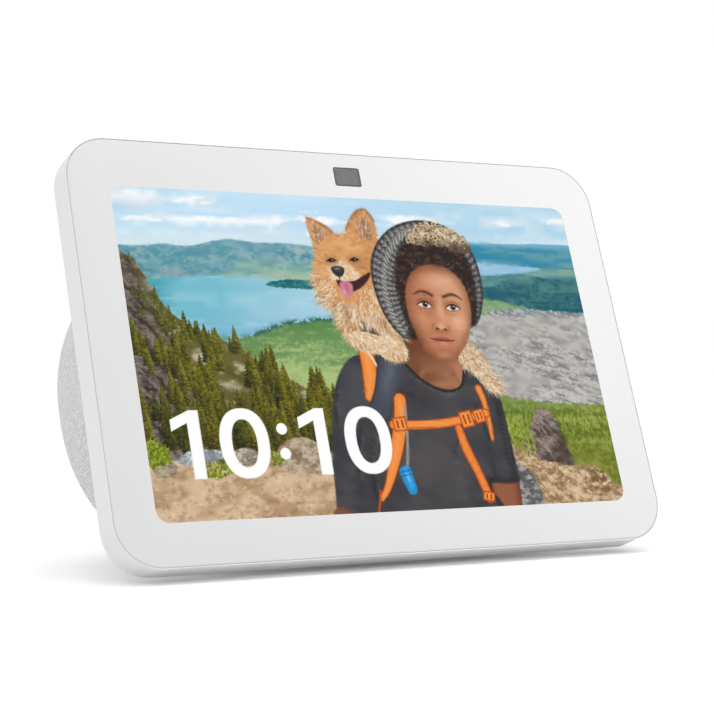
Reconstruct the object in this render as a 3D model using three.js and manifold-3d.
// Smart display: a flat touch panel leaning back 20 degrees on a fabric covered speaker dome.
// Millimetres, +Z up. The screen faces -Y, and the origin is the middle of the footprint at the
// surface that the display stands on. Most pieces are drawn in the panel's own frame, whose x runs
// across the screen, y into the device from the glass, and z up the slope of the screen.

import * as THREE from 'three';
import { mergeVertices } from 'three/addons/utils/BufferGeometryUtils.js';
import { ParametricGeometry } from 'three/addons/geometries/ParametricGeometry.js';
import Module from 'manifold-3d';

const wasm = await Module();
wasm.setup();

// ---- driving dimensions ----------------------------------------------------------------------

const LEAN = THREE.MathUtils.degToRad(20); // the screen's backward lean
const PANEL_CENTRE = new THREE.Vector3(0, -29.27, 69.6); // middle of the glass's front face

const SLAB = { width: 200, height: 138, depth: 13, corner: 14.5, wall: 2.2, backEdge: 3.2 };
const LIP = 0.3; // thin rim of the housing around the glass
const GAP = 0.3; // clearance between neighbouring pieces
const GLASS_DEPTH = 1.1;
const LEDGE = 2.2; // depth at which the housing's wall begins behind the glass
const BACK_OPENING = { width: 144, height: 84, corner: 8, z: -2 };
const FLEX_NOTCH = { width: 30, low: -56, high: 47 }; // runs up and down past the back opening

const LCD = { width: 178, height: 113.4, corner: 2, z: -1.4 };
const CAMERA_Z = 60.2;
const WINDOW = { width: 9.9, height: 6.7, corner: 0.8, depth: 0.9 };

const BUTTON = { length: 10, depth: 4.4, proud: 0.9, travel: 0.6, y: 6.8 };
const BUTTON_X = { mic_button: -66, volume_down_button: -50, volume_up_button: -34 };
const SHUTTER = { x: 11, travel: 11, y: 6.8, knob: 11.5 };
const MIC_X = [40, 60];

// The dome is a superellipsoid in the panel's frame. It droops as it runs back.
const DOME = {
  halfWidth: 96.5, above: 58.5, below: 64, length: 61, y: 26, z: 0.6,
  droop: -0.2, outline: 2.3, profile: 2.4, front: 13.3, floor: 4,
};
const FABRIC = 1.0; // thickness of the knit cover
const SHELL = 2.2; // thickness of the dome's plastic wall
const SHELL_INSET = FABRIC + 0.4;
const LINER_INSET = SHELL_INSET + SHELL; // inner face of the plastic wall

const BOSS = { radius: 3.6, bore: 1.6, front: 11, base: 8, skin: 1.5 }; // screw bosses in the dome

const BOARD = { width: 130, height: 80, y: 14.5, thick: 1.6 };
const SPREADER = { width: 104, height: 70, z: -1, y: 19.2, thick: 1.5 };
const SHIELD = { width: 44, height: 38, y: 16.4, thick: 2.5 };

const BOX = { halfWidth: 56, back: 58, top: -1.5, bottom: -51, wall: 2, clearOfPanel: 21.5 };
const DRIVER = { y: 34.5, z: -26.5, flange: 23, basket: 19.5, hole: 20 };
const RADIATOR = { z: -26.3, flange: 24.2, hole: 22.3, plate: 17 };
const SOUND_HOLE = 21; // radius of the holes in the dome's shell, in front of each driver

const BASE = { bottom: 1.3, top: 3.7, inset: 0.5 };
const FOOT = { width: 104, back: 50, front: 5, corner: 14, thick: 1.2 };
const INLET = { z: -57, width: 20, height: 12, wall: 2, depth: 9, corner: 3 };
const JACK = { size: 10, depth: 11, bore: 3.2, pin: 0.8 };

// ---- colours and finishes --------------------------------------------------------------------

function finish(color, roughness, metalness = 0) {
  return new THREE.MeshStandardMaterial({ color, roughness, metalness });
}
const FINISH = {
  glass: finish(0xeeeeec, 0.12),
  window: finish(0x6d6f72, 0.1),
  white: finish(0xf0f0ee, 0.45),
  fabric: finish(0xc9cbcc, 0.95),
  black: finish(0x1b1c1e, 0.5),
  lens: finish(0x101216, 0.08),
  rubber: finish(0x8d8f91, 0.85),
  board: finish(0x1f5f3c, 0.5),
  steel: finish(0xb8babc, 0.3, 1),
  aluminium: finish(0xc9cbcd, 0.4, 1),
  lcd: finish(0x14171b, 0.2),
  reflector: finish(0xe6e6e6, 0.5),
  flex: finish(0xb06a1e, 0.5),
  cone: finish(0x2a2b2d, 0.8),
  magnet: finish(0x4a4b4d, 0.45, 1),
};

// ---- drawing helpers -------------------------------------------------------------------------

function roundedShape(width, height, corner, x = 0, z = 0) {
  const shape = new THREE.Shape();
  const [left, right] = [x - width / 2, x + width / 2];
  const [low, high] = [z - height / 2, z + height / 2];
  const quarter = Math.PI / 2;
  shape.absarc(right - corner, low + corner, corner, -quarter, 0);
  shape.absarc(right - corner, high - corner, corner, 0, quarter);
  shape.absarc(left + corner, high - corner, corner, quarter, 2 * quarter);
  shape.absarc(left + corner, low + corner, corner, 2 * quarter, 3 * quarter);
  shape.closePath();
  return shape;
}

// A flat piece whose outline lies in x and z, and which runs from y0 to y1.
function plate(shape, y0, y1, curveSegments = 6) {
  const settings = { depth: y1 - y0, bevelEnabled: false, curveSegments };
  return new THREE.ExtrudeGeometry(shape, settings).rotateX(Math.PI / 2).translate(0, y1, 0);
}

// A stadium or rounded pad whose outline lies in x and y, and which runs from z0 to z1.
function tablet(width, depth, corner, x, y, z0, z1, curveSegments = 4) {
  const shape = roundedShape(width, depth, corner, x, y);
  const settings = { depth: z1 - z0, bevelEnabled: false, curveSegments };
  return new THREE.ExtrudeGeometry(shape, settings).translate(0, 0, z0);
}

// An outline of [y, z] points pushed across from x0 to x1.
function profileAcross(points, x0, x1) {
  const shape = new THREE.Shape(points.map(([y, z]) => new THREE.Vector2(y, z)));
  const geometry = new THREE.ExtrudeGeometry(shape, { depth: x1 - x0, bevelEnabled: false });
  return geometry.rotateY(Math.PI / 2).rotateX(Math.PI / 2).translate(x0, 0, 0);
}

function block(x0, x1, y0, y1, z0, z1) {
  const geometry = new THREE.BoxGeometry(x1 - x0, y1 - y0, z1 - z0);
  return geometry.translate((x0 + x1) / 2, (y0 + y1) / 2, (z0 + z1) / 2);
}

function rod(radius, y0, y1, x = 0, z = 0, sides = 20) {
  return new THREE.CylinderGeometry(radius, radius, y1 - y0, sides).translate(x, (y0 + y1) / 2, z);
}

function post(radius, z0, z1, x, y, sides = 16) {
  const geometry = new THREE.CylinderGeometry(radius, radius, z1 - z0, sides).rotateX(Math.PI / 2);
  return geometry.translate(x, y, (z0 + z1) / 2);
}

// A turned piece about the y axis, from [radius, y] points that close on themselves or the axis.
function turned(points, sides = 20) {
  const profile = points.map(([r, y]) => new THREE.Vector2(r, y));
  if (THREE.ShapeUtils.area(profile) < 0) profile.reverse();
  const onAxis = profile[0].x === 0 && profile.at(-1).x === 0;
  if (!onAxis) profile.push(profile[0].clone());
  return new THREE.LatheGeometry(profile, sides);
}

// A round lead along a smooth route.
function lead(points, radius) {
  const route = new THREE.CatmullRomCurve3(points.map((p) => new THREE.Vector3(...p)));
  const section = new THREE.Shape().absarc(0, 0, radius, 0, 2 * Math.PI);
  return new THREE.ExtrudeGeometry(section, { steps: 10, extrudePath: route, curveSegments: 4 });
}

// ---- joining and cutting ---------------------------------------------------------------------

function solid(geometry) {
  const bare = geometry.clone();
  bare.deleteAttribute('normal');
  bare.deleteAttribute('uv');
  const merged = mergeVertices(bare, 1e-4);
  const corners = [];
  const index = merged.index.array;
  for (let i = 0; i < index.length; i += 3) {
    const [a, b, c] = [index[i], index[i + 1], index[i + 2]];
    if (a !== b && b !== c && c !== a) corners.push(a, b, c);
  }
  const mesh = new wasm.Mesh({
    numProp: 3,
    vertProperties: merged.attributes.position.array,
    triVerts: new Uint32Array(corners),
  });
  return new wasm.Manifold(mesh);
}

function geometryOf(manifold) {
  const { vertProperties, triVerts } = manifold.getMesh();
  const geometry = new THREE.BufferGeometry();
  geometry.setAttribute('position', new THREE.BufferAttribute(vertProperties, 3));
  geometry.setIndex(new THREE.BufferAttribute(triVerts, 1));
  geometry.computeVertexNormals();
  return geometry;
}

function cut(body, ...tools) {
  return geometryOf(tools.reduce((rest, tool) => rest.subtract(solid(tool)), solid(body)));
}

function join(...pieces) {
  return geometryOf(pieces.map(solid).reduce((all, piece) => all.add(piece)));
}

function common(a, b) {
  return geometryOf(solid(a).intersect(solid(b)));
}

// ---- the dome's surface ----------------------------------------------------------------------

const signedPower = (value, power) => Math.sign(value) * Math.abs(value) ** power;
const domeMiddle = (y) => DOME.z + DOME.droop * (y - DOME.front);

// The whole closed superellipsoid, drawn in by `inset` all round, before any plane trims it.
function domeBody(inset, around = 36, along = 12) {
  const surface = (s, t, target) => {
    const turn = 2 * Math.PI * (1 - s);
    const tilt = Math.PI * (t - 0.5);
    const ring = Math.max(Math.cos(tilt), 0) ** (2 / DOME.profile);
    const reach = (Math.sin(turn) > 0 ? DOME.above : DOME.below) - inset;
    const x = (DOME.halfWidth - inset) * ring * signedPower(Math.cos(turn), 2 / DOME.outline);
    const y = DOME.y + (DOME.length - inset) * signedPower(Math.sin(tilt), 2 / DOME.profile);
    const rise = reach * ring * signedPower(Math.sin(turn), 2 / DOME.outline);
    target.set(x, y, domeMiddle(y) + rise);
  };
  return new ParametricGeometry(surface, around, along);
}

// Half the dome's width at a place in the panel's frame.
function domeHalfWidth(y, z, inset) {
  const along = Math.abs((y - DOME.y) / (DOME.length - inset)) ** DOME.profile;
  const ring = (1 - along) ** (1 / DOME.profile);
  const rise = z - domeMiddle(y);
  const reach = ((rise > 0 ? DOME.above : DOME.below) - inset) * ring;
  const share = (1 - Math.abs(rise / reach) ** DOME.outline) ** (1 / DOME.outline);
  return (DOME.halfWidth - inset) * ring * share;
}

// Turns a shape from the upright stand's frame into the leaning panel's frame, and back.
const toPanel = (geometry) => geometry.rotateX(LEAN);
const toStand = (geometry) => geometry.rotateX(-LEAN);
const FAR = 300;

// The dome trimmed by the back of the panel and by its flat floor, in the panel's frame.
function domeHull(inset) {
  const behindPanel = block(-FAR, FAR, DOME.front, FAR, -FAR, FAR);
  const aboveFloor = toPanel(block(-FAR, FAR, -FAR, FAR, DOME.floor - PANEL_CENTRE.z, FAR));
  return common(common(domeBody(inset), behindPanel), aboveFloor);
}

// ---- the assembly's groups -------------------------------------------------------------------

const display = new THREE.Group();
const stand = new THREE.Group(); // upright, at the middle of the glass
stand.position.copy(PANEL_CENTRE);
const panel = new THREE.Group(); // leans back with the screen
panel.rotation.x = -LEAN;
stand.add(panel);
display.add(stand);

function place(group, name, geometry, material) {
  const mesh = new THREE.Mesh(geometry, material);
  mesh.name = name;
  group.add(mesh);
  return mesh;
}

// ---- glass, screen and frame -----------------------------------------------------------------

const glassWidth = SLAB.width - 2 * (LIP + GAP);
const glassHeight = SLAB.height - 2 * (LIP + GAP);
const glassCorner = SLAB.corner - LIP - GAP;

function windowShape(gap = 0) {
  return roundedShape(WINDOW.width + 2 * gap, WINDOW.height + 2 * gap, WINDOW.corner + gap, 0, CAMERA_Z);
}

const glassShape = roundedShape(glassWidth, glassHeight, glassCorner);
glassShape.holes.push(windowShape(GAP));
place(panel, 'cover_glass', plate(glassShape, 0, GLASS_DEPTH, 8), FINISH.glass);
place(panel, 'camera_window', plate(windowShape(), 0, WINDOW.depth), FINISH.window);

// The gasket runs round under the edge of the glass, between two insets from the housing's outline.
const GASKET = { outer: 0.9, inner: 2.2, y0: 1.4, y1: 1.9 };
function insetShape(inset) {
  return roundedShape(SLAB.width - 2 * inset, SLAB.height - 2 * inset, SLAB.corner - inset);
}
const gasketShape = insetShape(GASKET.outer);
gasketShape.holes.push(insetShape(GASKET.inner));
place(panel, 'display_gasket', plate(gasketShape, GASKET.y0, GASKET.y1), FINISH.black);

const LCD_LAYERS = { glass: [1.4, 3.0], backlight: [3.3, 5.4] };
const lcdShape = roundedShape(LCD.width, LCD.height, LCD.corner, 0, LCD.z);
place(panel, 'lcd_panel', plate(lcdShape, ...LCD_LAYERS.glass, 3), FINISH.lcd);
place(panel, 'backlight_unit', plate(lcdShape, ...LCD_LAYERS.backlight, 3), FINISH.reflector);

const FRAME = { width: 184, height: 116, corner: 6, z: -4, y0: 6.6, y1: 7.8 };
const flexSlot = block(-15, 15, FRAME.y0 - 1, FRAME.y1 + 1, -56, -50);
const frameShape = roundedShape(FRAME.width, FRAME.height, FRAME.corner, 0, FRAME.z);
place(panel, 'mid_frame', cut(plate(frameShape, FRAME.y0, FRAME.y1), flexSlot), FINISH.aluminium);

// ---- front housing ---------------------------------------------------------------------------

// Screws into the dome, [x, z]: each boss stands against the inside of the shell's wall.
const SCREWS = [26, -30].flatMap((z) => {
  const x = domeHalfWidth(DOME.front + BOSS.front / 2, z, LINER_INSET) - BOSS.radius + 1;
  return [[-x, z], [x, z]];
});

function topSlot(width, depth, x, y, low, high) {
  return tablet(width, depth, depth / 2, x, y, low, high);
}

function housingBody() {
  const { width, height, depth, corner, wall, backEdge } = SLAB;
  const outline = roundedShape(width, height, corner);
  const rounded = new THREE.ExtrudeGeometry(outline, {
    depth: depth - backEdge, curveSegments: 8,
    bevelThickness: backEdge, bevelSize: backEdge, bevelOffset: -backEdge, bevelSegments: 3,
  });
  rounded.rotateX(Math.PI / 2).translate(0, depth - backEdge, 0);
  const inFront = block(-FAR, FAR, -FAR, 0, -FAR, FAR);
  const pocket = plate(roundedShape(width - 2 * LIP, height - 2 * LIP, corner - LIP), -1, LEDGE, 8);
  const hollow = roundedShape(width - 2 * wall, height - 2 * wall, corner - wall);
  const opening = BACK_OPENING;
  const backOpening = roundedShape(opening.width, opening.height, opening.corner, 0, opening.z);
  const notch = FLEX_NOTCH.width / 2;
  const top = height / 2;
  const buttonSlots = Object.values(BUTTON_X).map((x) => (
    topSlot(BUTTON.length + 2 * GAP, BUTTON.depth + 2 * GAP, x, BUTTON.y, top - wall - 1, top + 1)
  ));
  const knobRun = SHUTTER.knob + SHUTTER.travel + 2 * GAP;
  const knobMiddle = SHUTTER.x - SHUTTER.travel / 2;
  const micHoles = MIC_X.map((x) => post(0.6, top - wall - 1, top + 1, x, SHUTTER.y, 8));
  const screwHoles = SCREWS.map(([x, z]) => rod(1.7, depth - wall - 1, depth + 1, x, z, 10));
  return cut(
    rounded,
    inFront,
    pocket,
    plate(hollow, LEDGE - 1, depth - wall + 0.2, 8),
    plate(backOpening, depth - wall - 1, depth + 1, 4),
    block(-notch, notch, depth - wall - 1, depth + 1, FLEX_NOTCH.low, FLEX_NOTCH.high),
    topSlot(knobRun, 5.4, knobMiddle, SHUTTER.y, top - 1, top + 1),
    topSlot(7.6 + SHUTTER.travel, 2.6, knobMiddle, SHUTTER.y, top - wall - 1, top + 1),
    ...buttonSlots,
    ...micHoles,
    ...screwHoles,
  );
}
place(panel, 'front_housing', housingBody(), FINISH.white);

// ---- top edge controls -----------------------------------------------------------------------

const TOP = SLAB.height / 2;
const CEILING = TOP - SLAB.wall; // inner face of the top wall

for (const [name, x] of Object.entries(BUTTON_X)) {
  const { length, depth, proud, y } = BUTTON;
  const cap = tablet(length, depth, depth / 2, x, y, CEILING - 0.8, TOP + proud);
  const flange = tablet(length + 2, depth + 1.4, 2, x, y, CEILING - 1.4, CEILING - 0.4);
  const plunger = post(1.1, CEILING - 2.2, CEILING - 1, x, y, 12);
  place(panel, name, join(cap, flange, plunger), FINISH.white);
}

const switchStemTop = CEILING - 2.2 - BUTTON.travel - 0.05;
Object.values(BUTTON_X).forEach((x, i) => {
  const [front, back] = [BUTTON.y - 1.6, BUTTON.y + 1.6];
  const body = block(x - 2.2, x + 2.2, front, back, switchStemTop - 2, switchStemTop - 0.6);
  const stem = post(0.9, switchStemTop - 1, switchStemTop, x, BUTTON.y, 12);
  place(panel, `tact_switch_${i + 1}`, join(body, stem), FINISH.black);
});
const boardTop = switchStemTop - 2.3;
place(panel, 'button_board', block(-74, -26, 3.4, 10.2, boardTop - 1, boardTop), FINISH.board);

function shutterSlider() {
  const { x, y, knob } = SHUTTER;
  const blade = block(x - 5.5, x + 5.5, 1.5, 2, CAMERA_Z - 4.7, CEILING - 0.4);
  const shelf = block(x - 3, x + 3, 1.5, y + 1, CEILING - 1.6, CEILING - 0.4);
  const neck = block(x - 3, x + 3, y - 1, y + 1, CEILING - 1, TOP - 0.2);
  const grip = tablet(knob, 4.8, 2.4, x, y, TOP - 0.7, TOP + 0.8);
  return join(blade, shelf, neck, grip);
}
place(panel, 'shutter_slider', shutterSlider(), FINISH.white);

// ---- camera, microphones and light sensor ----------------------------------------------------

const CAMERA = { half: 4.2, y0: 3.4, y1: 8, barrel: 3.1, lens: 2.3 };
const cameraShape = roundedShape(2 * CAMERA.half, 2 * CAMERA.half, 0.5, 0, CAMERA_Z);
const cameraBody = plate(cameraShape, CAMERA.y0, CAMERA.y1, 2);
const barrel = rod(CAMERA.barrel, 2.4, CAMERA.y0 + 1, 0, CAMERA_Z);
const lensPocket = rod(CAMERA.lens + GAP, 2, 3.6, 0, CAMERA_Z);
place(panel, 'camera_module', cut(join(cameraBody, barrel), lensPocket), FINISH.black);
const lens = turned([[0, 0], [0, 1.05], [CAMERA.lens, 1.05], [CAMERA.lens, 0.45], [1.3, 0.1]], 20);
place(panel, 'camera_lens', lens.translate(0, 2.3, CAMERA_Z), FINISH.lens);

place(panel, 'light_sensor', block(-26, -22, 1.5, 3, CAMERA_Z - 1.5, CAMERA_Z + 1.5), FINISH.black);

const micStrip = block(30, 70, 3.8, 9.8, CEILING - 1.4, CEILING - 0.4);
const capsules = MIC_X.map((x) => block(x - 1.9, x + 1.9, 5.3, 8.3, CEILING - 2.6, CEILING - 1));
place(panel, 'mic_board', join(micStrip, ...capsules), FINISH.board);

// ---- electronics behind the screen -----------------------------------------------------------

const boardShape = roundedShape(BOARD.width, BOARD.height, 4);
place(panel, 'main_board', plate(boardShape, BOARD.y, BOARD.y + BOARD.thick, 3), FINISH.board);
const shieldShape = roundedShape(SHIELD.width, SHIELD.height, 1.5, 0, 4);
place(panel, 'shield_can', plate(shieldShape, SHIELD.y, SHIELD.y + SHIELD.thick, 3), FINISH.steel);
const spreaderShape = roundedShape(SPREADER.width, SPREADER.height, 5, 0, SPREADER.z);
const spreaderBack = SPREADER.y + SPREADER.thick;
place(panel, 'heat_spreader', plate(spreaderShape, SPREADER.y, spreaderBack, 3), FINISH.aluminium);

// Flat flex tails as closed [y, z] outlines, with a half width each: from the screen's backlight
// round under the frame to the main board, and from the camera down to the main board.
const FLEXES = {
  display_flex: {
    halfWidth: 12,
    outline: [
      [5.7, -38], [5.7, -52.6], [14.2, -52.6], [14.2, -36],
      [13.9, -36], [13.9, -52.3], [6, -52.3], [6, -38],
    ],
  },
  camera_flex: {
    halfWidth: 3,
    outline: [
      [8.3, 62], [8.6, 62], [8.6, 46], [14.2, 38],
      [14.2, 30], [13.9, 30], [13.9, 37.8], [8.3, 45.8],
    ],
  },
};
for (const [name, { halfWidth, outline }] of Object.entries(FLEXES)) {
  place(panel, name, profileAcross(outline, -halfWidth, halfWidth), FINISH.flex);
}

for (const [side, sign] of [['left', -1], ['right', 1]]) {
  const [inner, outer] = [45 * sign, 80 * sign];
  const strip = block(Math.min(inner, outer), Math.max(inner, outer), 8.6, 9.4, -65.4, -58);
  place(panel, `wifi_antenna_${side}`, strip, FINISH.board);
}

// ---- dome: plastic shell, knit cover and screws ----------------------------------------------

const BASE_SCREWS = [[-1, 8], [1, 8], [-1, 44], [1, 44]]; // side, and y in the stand's frame

// x of a base screw: its boss stands against the inside of the shell's wall.
function baseScrewX(side, y) {
  const z = DOME.floor + BOSS.base - PANEL_CENTRE.z;
  const [c, s] = [Math.cos(LEAN), Math.sin(LEAN)];
  const low = DOME.floor - PANEL_CENTRE.z;
  const width = Math.min(
    domeHalfWidth(y * c - low * s, y * s + low * c, LINER_INSET),
    domeHalfWidth(y * c - z * s, y * s + z * c, LINER_INSET),
  );
  return side * (width - BOSS.radius + 1);
}

function inletHole(grow) {
  const { width, height, corner, z } = INLET;
  const hole = roundedShape(width + 2 * grow, height + 2 * grow, corner + grow, 0, z);
  return toPanel(plate(hole, 30, FAR));
}

function speakerHousing() {
  const outer = domeHull(SHELL_INSET);
  const inner = domeBody(LINER_INSET);
  const shell = cut(outer, inner);
  const bossEnd = DOME.front + BOSS.front;
  const frontBosses = SCREWS.map(([x, z]) => rod(BOSS.radius, DOME.front, bossEnd, x, z, 10));
  const floor = DOME.floor - PANEL_CENTRE.z;
  const baseBosses = BASE_SCREWS.map(([side, y]) => (
    toPanel(post(BOSS.radius, floor, floor + BOSS.base, baseScrewX(side, y), y, 10))
  ));
  const bosses = common(join(...frontBosses, ...baseBosses), outer);
  const across = new THREE.CylinderGeometry(SOUND_HOLE, SOUND_HOLE, 2 * FAR, 28).rotateZ(Math.PI / 2);
  const soundHoles = [
    toPanel(across.translate(0, DRIVER.y, DRIVER.z)),
    toPanel(rod(SOUND_HOLE, BOX.back + 2, FAR, 0, RADIATOR.z, 28)),
  ];
  const frontBores = SCREWS.map(([x, z]) => rod(BOSS.bore, 0, bossEnd - BOSS.skin, x, z, 12));
  const baseBores = BASE_SCREWS.map(([side, y]) => (
    toPanel(post(BOSS.bore, -FAR, floor + BOSS.base - BOSS.skin, baseScrewX(side, y), y, 12))
  ));
  return cut(join(shell, bosses), ...soundHoles, inletHole(GAP), ...frontBores, ...baseBores);
}
place(panel, 'speaker_housing', speakerHousing(), FINISH.white);

const knit = cut(domeHull(0), domeBody(FABRIC), inletHole(GAP));
place(panel, 'fabric_cover', knit, FINISH.fabric);

SCREWS.forEach(([x, z], i) => {
  const screw = turned([[0, 9.2], [2.5, 9.2], [2.5, 10.7], [1.3, 10.7], [1.3, 20.5], [0, 21.5]], 10);
  place(panel, `housing_screw_${i + 1}`, screw.translate(x, 0, z), FINISH.steel);
});

// ---- speaker box, drivers and passive radiator -----------------------------------------------

// Side outline of the box in the stand's frame: its front follows the leaning panel.
function boxOutline(inset) {
  const slopeY = (z) => (BOX.clearOfPanel + inset + z * Math.sin(LEAN)) / Math.cos(LEAN);
  const [low, high, back] = [BOX.bottom + inset, BOX.top - inset, BOX.back - inset];
  return [[slopeY(low), low], [back, low], [back, high], [slopeY(high), high]];
}

function speakerBox() {
  const { halfWidth, wall, back } = BOX;
  const outer = profileAcross(boxOutline(0), -halfWidth, halfWidth);
  const inner = profileAcross(boxOutline(wall), wall - halfWidth, halfWidth - wall);
  const sideHoles = new THREE.CylinderGeometry(DRIVER.hole, DRIVER.hole, FAR, 28).rotateZ(Math.PI / 2);
  const backHole = rod(RADIATOR.hole, back - wall - 5, back + 5, 0, RADIATOR.z, 28);
  return cut(outer, inner, sideHoles.translate(0, DRIVER.y, DRIVER.z), backHole);
}
place(stand, 'speaker_box', speakerBox(), FINISH.black);

// Each driver is drawn along y, facing out of the box, and turned to its side of the box.
for (const [side, sign] of [['left', -1], ['right', 1]]) {
  const driver = new THREE.Group();
  driver.position.set(sign * BOX.halfWidth, DRIVER.y, DRIVER.z);
  driver.rotation.z = -sign * Math.PI / 2;
  stand.add(driver);
  const { flange, basket } = DRIVER;
  const frame = turned([
    [flange, 0.3], [flange, 2.3], [18.6, 2.3], [18.6, -1.6], [10, -14.2], [9, -14.2],
    [9, -15], [11.8, -15], [basket, -1.6], [basket, 0.3],
  ]);
  place(driver, `driver_frame_${side}`, frame, FINISH.steel);
  const magnet = turned([[0, -24.3], [0, -15.3], [12, -15.3], [12.5, -15.8], [12.5, -24.3]]);
  place(driver, `driver_magnet_${side}`, magnet, FINISH.magnet);
  const roll = [
    [15.9, -1.4], [15.9, -0.8], [16.4, 0.5], [17.1, 1.1],
    [17.8, 0.5], [18.3, -0.8], [18.3, -1.4], [17.1, 0.3],
  ];
  place(driver, `driver_surround_${side}`, turned(roll), FINISH.rubber);
  const cone = turned([
    [0, -8.4], [4.4, -8.4], [4.4, -12.5], [5.2, -12.5], [5.2, -8.8],
    [15.6, -2.2], [15.6, -1.2], [6, -7], [4, -5], [0, -4.2],
  ]);
  place(driver, `driver_cone_${side}`, cone, FINISH.cone);
}

const radiator = new THREE.Group();
radiator.position.set(0, BOX.back, RADIATOR.z);
stand.add(radiator);
const radiatorRing = turned([[RADIATOR.flange, 0.3], [RADIATOR.flange, 2.3], [22.1, 2.3], [22.1, 0.3]]);
place(radiator, 'radiator_frame', radiatorRing, FINISH.black);
const radiatorRoll = [
  [17.3, 0.4], [17.3, 1], [18.4, 2.6], [19.5, 3.2], [20.6, 2.6],
  [21.8, 1], [21.8, 0.4], [20.4, 2], [19.5, 2.4], [18.6, 2],
];
place(radiator, 'radiator_surround', turned(radiatorRoll), FINISH.rubber);
const rim = RADIATOR.plate;
const radiatorPlate = turned([[0, 0], [rim - 1, 0], [rim, 0.5], [rim, 1.4], [0, 1.4]]);
place(radiator, 'radiator_plate', radiatorPlate, FINISH.cone);

// ---- leads from the main board to the speaker box --------------------------------------------

const CABLE = {
  radius: 0.9,
  route: [
    [60, 16.5, -18], [60.5, 17.8, -18.6], [61.8, 18.7, -22],
    [60.8, 18.9, -26], [56, 19.3, -28.6], [54.9, 20.9, -29.2],
  ],
};
for (const [side, sign] of [['left', -1], ['right', 1]]) {
  const cable = lead(CABLE.route.map(([x, y, z]) => [sign * x, y, z]), CABLE.radius);
  place(panel, `speaker_cable_${side}`, cable, FINISH.black);
}

// ---- base, foot and power inlet --------------------------------------------------------------

const onFloor = (z) => z - PANEL_CENTRE.z; // a height above the table, in the stand's frame

function basePlate() {
  const body = toStand(domeBody(BASE.inset));
  const layer = block(-FAR, FAR, -FAR, FAR, onFloor(BASE.bottom), onFloor(BASE.top));
  const behindPanel = toStand(block(-FAR, FAR, DOME.front + 0.4, FAR, -FAR, FAR));
  const holes = BASE_SCREWS.flatMap(([side, y]) => {
    const x = baseScrewX(side, y);
    return [
      post(1.7, onFloor(0), onFloor(BASE.top + 1), x, y, 12),
      post(2.9, onFloor(0), onFloor(BASE.bottom + 1.4), x, y, 12),
    ];
  });
  return cut(common(common(body, layer), behindPanel), ...holes);
}
place(stand, 'base_plate', basePlate(), FINISH.white);

BASE_SCREWS.forEach(([side, y], i) => {
  const screw = turned([[0, 0], [2.5, 0], [2.5, 1.1], [1.2, 1.1], [1.2, 7.4], [0, 8.4]], 10);
  screw.rotateX(Math.PI / 2).translate(baseScrewX(side, y), y, onFloor(BASE.bottom + 0.2));
  place(stand, `base_screw_${i + 1}`, screw, FINISH.steel);
});

const footLength = FOOT.back - FOOT.front;
const footY = FOOT.front + footLength / 2;
const foot = tablet(FOOT.width, footLength, FOOT.corner, 0, footY, onFloor(0), onFloor(FOOT.thick), 8);
place(stand, 'foot_pad', foot, FINISH.rubber);

// y of the dome's surface above the middle of its back, at a height in the stand's frame.
function domeBackAt(z, inset) {
  let [near, far] = [20, FAR];
  for (let step = 0; step < 40; step += 1) {
    const middle = (near + far) / 2;
    const y = middle * Math.cos(LEAN) - z * Math.sin(LEAN);
    const height = middle * Math.sin(LEAN) + z * Math.cos(LEAN);
    const inside = domeHalfWidth(y, height, inset) > 0;
    if (inside) near = middle;
    else far = middle;
  }
  return near;
}

const inletFront = domeBackAt(INLET.z - INLET.height / 2, 0) - INLET.depth;
const inletShape = roundedShape(INLET.width, INLET.height, INLET.corner, 0, INLET.z);
const bezelOuter = plate(inletShape, inletFront, FAR);
const bezelInner = plate(
  roundedShape(INLET.width - 2 * INLET.wall, INLET.height - 2 * INLET.wall, 1.2, 0, INLET.z), 0, FAR,
);
const bezelFace = toStand(domeBody(-0.8));
place(stand, 'port_bezel', cut(common(bezelOuter, bezelFace), bezelInner), FINISH.black);

const jackBack = inletFront - GAP;
const half = JACK.size / 2;
const jackBody = block(-half, half, jackBack - JACK.depth, jackBack, INLET.z - half, INLET.z + half);
const jackBore = rod(JACK.bore, jackBack - JACK.depth + 2, jackBack + 1, 0, INLET.z, 20);
const jackPin = rod(JACK.pin, jackBack - JACK.depth + 1, jackBack - 1, 0, INLET.z, 12);
place(stand, 'dc_jack', join(cut(jackBody, jackBore), jackPin), FINISH.black);

export default display;
